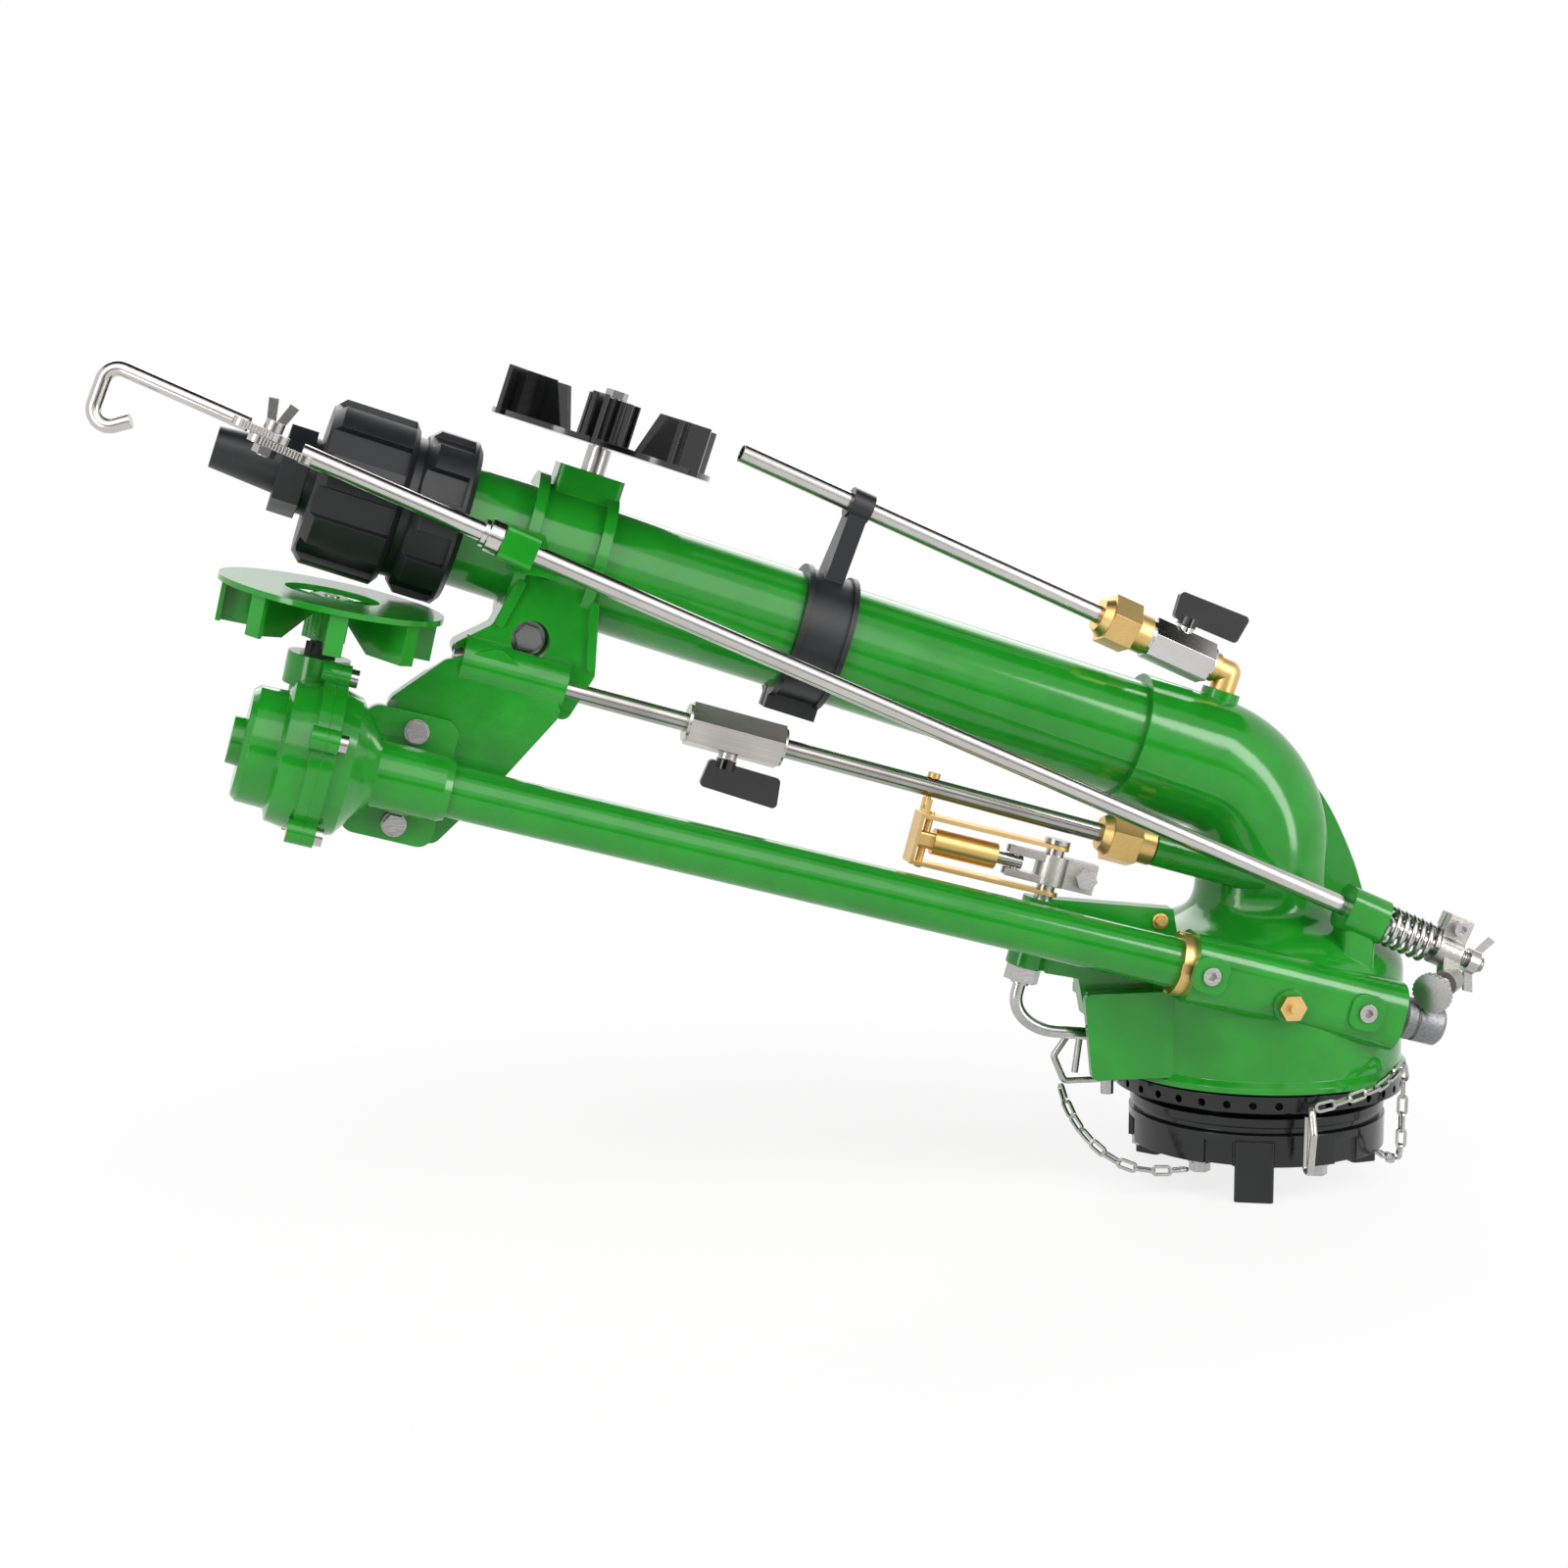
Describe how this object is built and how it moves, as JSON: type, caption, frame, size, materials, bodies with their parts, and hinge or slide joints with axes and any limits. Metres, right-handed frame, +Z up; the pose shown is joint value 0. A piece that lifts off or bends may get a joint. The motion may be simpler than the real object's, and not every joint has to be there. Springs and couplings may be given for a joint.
{
  "type": "rain gun sprinkler",
  "caption": "Large irrigation sprinkler: a turning cast elbow and long inclined barrel, driven by a water turbine through a worm gear, with a trip that reverses it.",
  "frame": {"origin": "centre of the water inlet, on the bottom face of the base flange", "axes": "+Z up the swivel axis; the barrel points to -X and up; the drive tube is on the -Y side"},
  "size_m": [0.7325, 0.1896, 0.4449],
  "materials": {
    "green_enamel": "gloss enamel over cast aluminium",
    "black_plastic": "satin moulded nylon",
    "gloss_plastic": "gloss moulded plastic",
    "black_enamel": "gloss black enamel over cast iron",
    "brass": "machined",
    "bronze": "turned bronze",
    "steel": "stainless, drawn and polished",
    "chrome": "nickel plated brass",
    "grey_cast": "bare cast, bead blasted",
    "inner_plastic": "moulded",
    "rubber": "moulded rubber"
  },
  "bodies": {
    "base": {"base_casting": "black_enamel", "flange_bolts": "steel", "inlet_seal": "rubber", "swivel_bush": "bronze", "ring_gear": "bronze", "stop_pins": "steel", "stop_chains": "steel"},
    "gun": {"body_casting": "green_enamel", "barrel_tube": "green_enamel", "flow_vanes": "inner_plastic", "nozzle": "black_plastic", "nozzle_nut": "black_plastic", "barrel_nut": "black_plastic", "barrel_bracket": "green_enamel", "clamp_bolt": "steel", "ear_bolts": "steel", "drive_tube": "green_enamel", "tube_locknut": "brass", "gearbox_rear": "green_enamel", "gearbox_front": "green_enamel", "socket_screws": "steel", "grease_plug": "brass", "spindle": "bronze", "elbow_casting": "green_enamel", "end_cap": "grey_cast", "worm_bushes": "bronze", "shaft_seal": "rubber", "wheel_stud": "steel", "brass_elbow": "brass", "upper_valve": "chrome", "compression_nuts": "brass", "upper_tube": "steel", "tube_strap": "black_plastic"},
    "drive_shaft": {"worm_shaft": "steel", "gearbox_wheel": "bronze"},
    "turbine": {"turbine_wheel": "green_enamel", "turbine_shaft": "steel"},
    "splash": {"splash_wheel": "gloss_plastic"},
    "upper_handle": {"upper_valve_handle": "gloss_plastic"},
    "feed_line": {"feed_tubes": "steel", "lower_valve": "chrome", "drive_nozzle": "chrome", "feed_pin": "brass"},
    "lower_handle": {"lower_valve_handle": "gloss_plastic"},
    "trip_lever": {"trip_fork": "grey_cast", "fork_bolt": "steel", "trip_rod": "steel", "trip_nut": "steel"},
    "toggle": {"toggle_frame": "brass"},
    "cartridge": {"spring_cartridge": "brass", "plunger": "steel", "toggle_spring": "steel"},
    "breaker": {"breaker_rod": "steel", "rod_collar": "steel", "rod_spring": "steel", "rod_lever": "grey_cast", "lever_screw": "steel", "foot_screw": "steel", "wing_bolts": "steel"},
    "hook": {"hook": "steel"}
  },
  "joints": [
    {"name": "gun_swivel", "type": "hinge", "parent": "base", "child": "gun", "pos_m": [0, 0, 0.06], "axis": [0, 0, 1], "range_deg": [0, 60]},
    {"name": "shaft_turn", "type": "hinge", "parent": "gun", "child": "drive_shaft", "pos_m": [0, -0.062, 0.0948], "axis": [-0.9664, 0, 0.2571], "continuous": true},
    {"name": "turbine_spin", "type": "hinge", "parent": "gun", "child": "turbine", "pos_m": [-0.50841, -0.036, 0.28026], "axis": [0.2161, -0.0523, 0.975], "continuous": true},
    {"name": "splash_spin", "type": "hinge", "parent": "gun", "child": "splash", "pos_m": [-0.36188, 0, 0.38188], "axis": [0.314, 0, 0.9494], "continuous": true},
    {"name": "upper_valve_turn", "type": "hinge", "parent": "gun", "child": "upper_handle", "pos_m": [-0.04527, -0.00167, 0.28588], "axis": [0.4073, 0.0285, 0.9128], "range_deg": [0, 90]},
    {"name": "lower_valve_turn", "type": "hinge", "parent": "feed_line", "child": "lower_handle", "pos_m": [-0.3011, -0.03, 0.22022], "axis": [0.2765, 0, 0.961], "range_deg": [0, 90]},
    {"name": "trip_turn", "type": "hinge", "parent": "gun", "child": "trip_lever", "pos_m": [-0.136, -0.03, 0.125], "axis": [0.2571, 0, 0.9664], "range_deg": [-8, 8]},
    {"name": "toggle_turn", "type": "hinge", "parent": "gun", "child": "toggle", "pos_m": [-0.12726, -0.03, 0.15786], "axis": [0.2571, 0, 0.9664], "range_deg": [-3, 3]},
    {"name": "cartridge_turn", "type": "hinge", "parent": "toggle", "child": "cartridge", "pos_m": [-0.19561, -0.03, 0.17708], "axis": [0.2571, 0, 0.9664], "range_deg": [-4.32, 4.32]},
    {"name": "feed_turn", "type": "hinge", "parent": "gun", "child": "feed_line", "pos_m": [-0.1922, -0.03, 0.2045], "axis": [-0.961, 0, 0.2765], "range_deg": [-27.6, 27.6]},
    {"name": "breaker_turn", "type": "hinge", "parent": "gun", "child": "breaker", "pos_m": [0, -0.056, 0.1511], "axis": [-0.9128, 0, 0.4083], "range_deg": [0, 35]},
    {"name": "hook_turn", "type": "hinge", "parent": "breaker", "child": "hook", "pos_m": [-0.53127, -0.056, 0.38875], "axis": [0.4083, 0, 0.9128], "range_deg": [-30, 30]}
  ],
  "couplings": [
    {"joint": "shaft_turn", "follows": "gun_swivel", "ratio": 20},
    {"joint": "turbine_spin", "follows": "gun_swivel", "ratio": 100},
    {"joint": "toggle_turn", "follows": "trip_turn", "ratio": -0.375},
    {"joint": "cartridge_turn", "follows": "trip_turn", "ratio": -0.539},
    {"joint": "feed_turn", "follows": "trip_turn", "ratio": -3.45}
  ]
}
